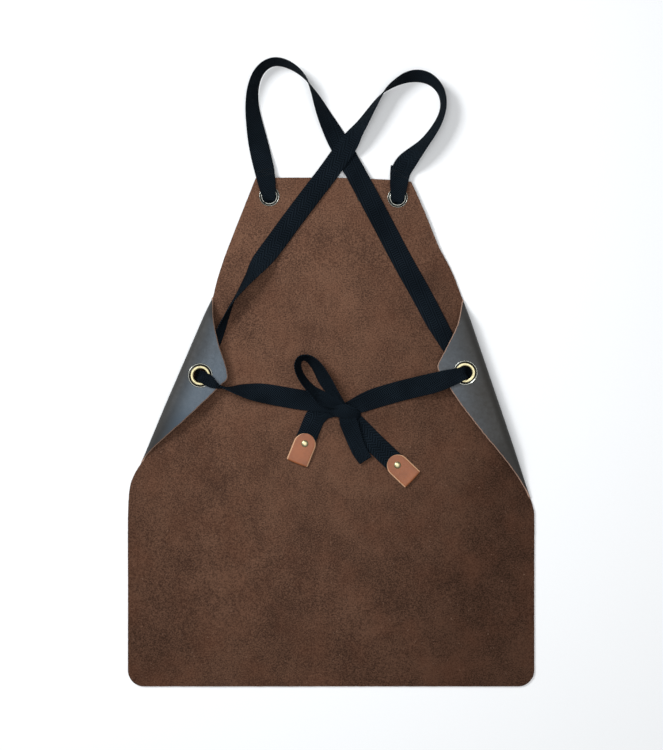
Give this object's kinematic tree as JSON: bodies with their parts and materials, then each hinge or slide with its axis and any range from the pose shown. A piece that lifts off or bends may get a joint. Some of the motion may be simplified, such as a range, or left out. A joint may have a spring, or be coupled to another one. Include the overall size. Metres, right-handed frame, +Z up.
{
  "type": "cross-back leather apron",
  "caption": "Leather cross-back apron lying on its front, side corners folded over the suede back, webbing straps crossed through eyelets and tied in a bow.",
  "frame": {"origin": "on the surface under the middle of the folded hide, straps left out", "axes": "+X across the apron, +Y from hem to bib along its length, +Z up out of the suede back"},
  "size_m": [0.6003, 0.9236, 0.0304],
  "materials": {
    "hide": "suede back, smooth waxed grain front",
    "tan_leather": "vegetable-tanned, smooth, raw cut edges",
    "webbing": "herringbone twill cotton webbing",
    "nickel_plate": "polished nickel plate",
    "pale_brass": "pale brass plate"
  },
  "bodies": {
    "apron_body": {"body_panel": "hide", "left_chest_eyelet": "nickel_plate", "left_chest_washer": "nickel_plate", "right_chest_eyelet": "nickel_plate", "right_chest_washer": "nickel_plate", "left_strap_anchor": "webbing", "right_strap_anchor": "webbing", "left_strap_run": "webbing", "right_strap_run": "webbing", "left_waist_tie": "webbing", "right_waist_tie": "webbing", "bow_knot": "webbing", "front_patch": "hide", "patch_rivet_caps": "nickel_plate", "patch_rivet_posts": "nickel_plate"},
    "left_corner": {"left_flap": "hide", "left_waist_eyelet": "pale_brass", "left_waist_washer": "nickel_plate", "left_eyelet_webbing": "webbing"},
    "right_corner": {"right_flap": "hide", "right_waist_eyelet": "pale_brass", "right_waist_washer": "nickel_plate", "right_eyelet_webbing": "webbing"},
    "shoulder_loops": {"left_shoulder_loop": "webbing", "right_shoulder_loop": "webbing", "left_strap_sewn_end": "webbing", "right_strap_sewn_end": "webbing"},
    "upper_bow": {"upper_bow_loop": "webbing"},
    "lower_bow": {"lower_bow_loop": "webbing"},
    "left_tail_end": {"left_tail": "webbing", "left_tail_tip": "tan_leather", "left_tip_rivet_cap": "pale_brass", "left_tip_rivet_post": "pale_brass"},
    "right_tail_end": {"right_tail": "webbing", "right_tail_tip": "tan_leather", "right_tip_rivet_cap": "pale_brass", "right_tip_rivet_post": "pale_brass"}
  },
  "joints": [
    {"name": "left_flap_lift", "type": "hinge", "parent": "apron_body", "child": "left_corner", "pos_m": [-0.2275, 0.07725, 0.01315], "axis": [-0.3968, -0.9179, 0], "range_deg": [0, 30]},
    {"name": "right_flap_lift", "type": "hinge", "parent": "apron_body", "child": "right_corner", "pos_m": [0.2443, 0.049, 0.01315], "axis": [-0.3221, 0.9467, 0], "range_deg": [0, 30]},
    {"name": "shoulder_loops_lift", "type": "hinge", "parent": "apron_body", "child": "shoulder_loops", "pos_m": [0, 0.381, 0.0085], "axis": [1, 0, 0], "range_deg": [0, 90]},
    {"name": "upper_bow_loop_lift", "type": "hinge", "parent": "apron_body", "child": "upper_bow", "pos_m": [0.0075, 0.0495, 0.014], "axis": [0.7848, 0.6198, 0], "range_deg": [0, 50]},
    {"name": "lower_bow_loop_lift", "type": "hinge", "parent": "apron_body", "child": "lower_bow", "pos_m": [0.028, 0.009, 0.0104], "axis": [-0.9018, -0.4321, 0], "range_deg": [0, 60]},
    {"name": "left_tail_lift", "type": "hinge", "parent": "apron_body", "child": "left_tail_end", "pos_m": [-0.0235, 0.0225, 0.0039], "axis": [-0.9196, 0.3929, 0], "range_deg": [0, 60]},
    {"name": "right_tail_swing", "type": "hinge", "parent": "apron_body", "child": "right_tail_end", "pos_m": [0.039, 0.0095, 0.00305], "axis": [0, 0, 1], "range_deg": [0, 25]}
  ]
}
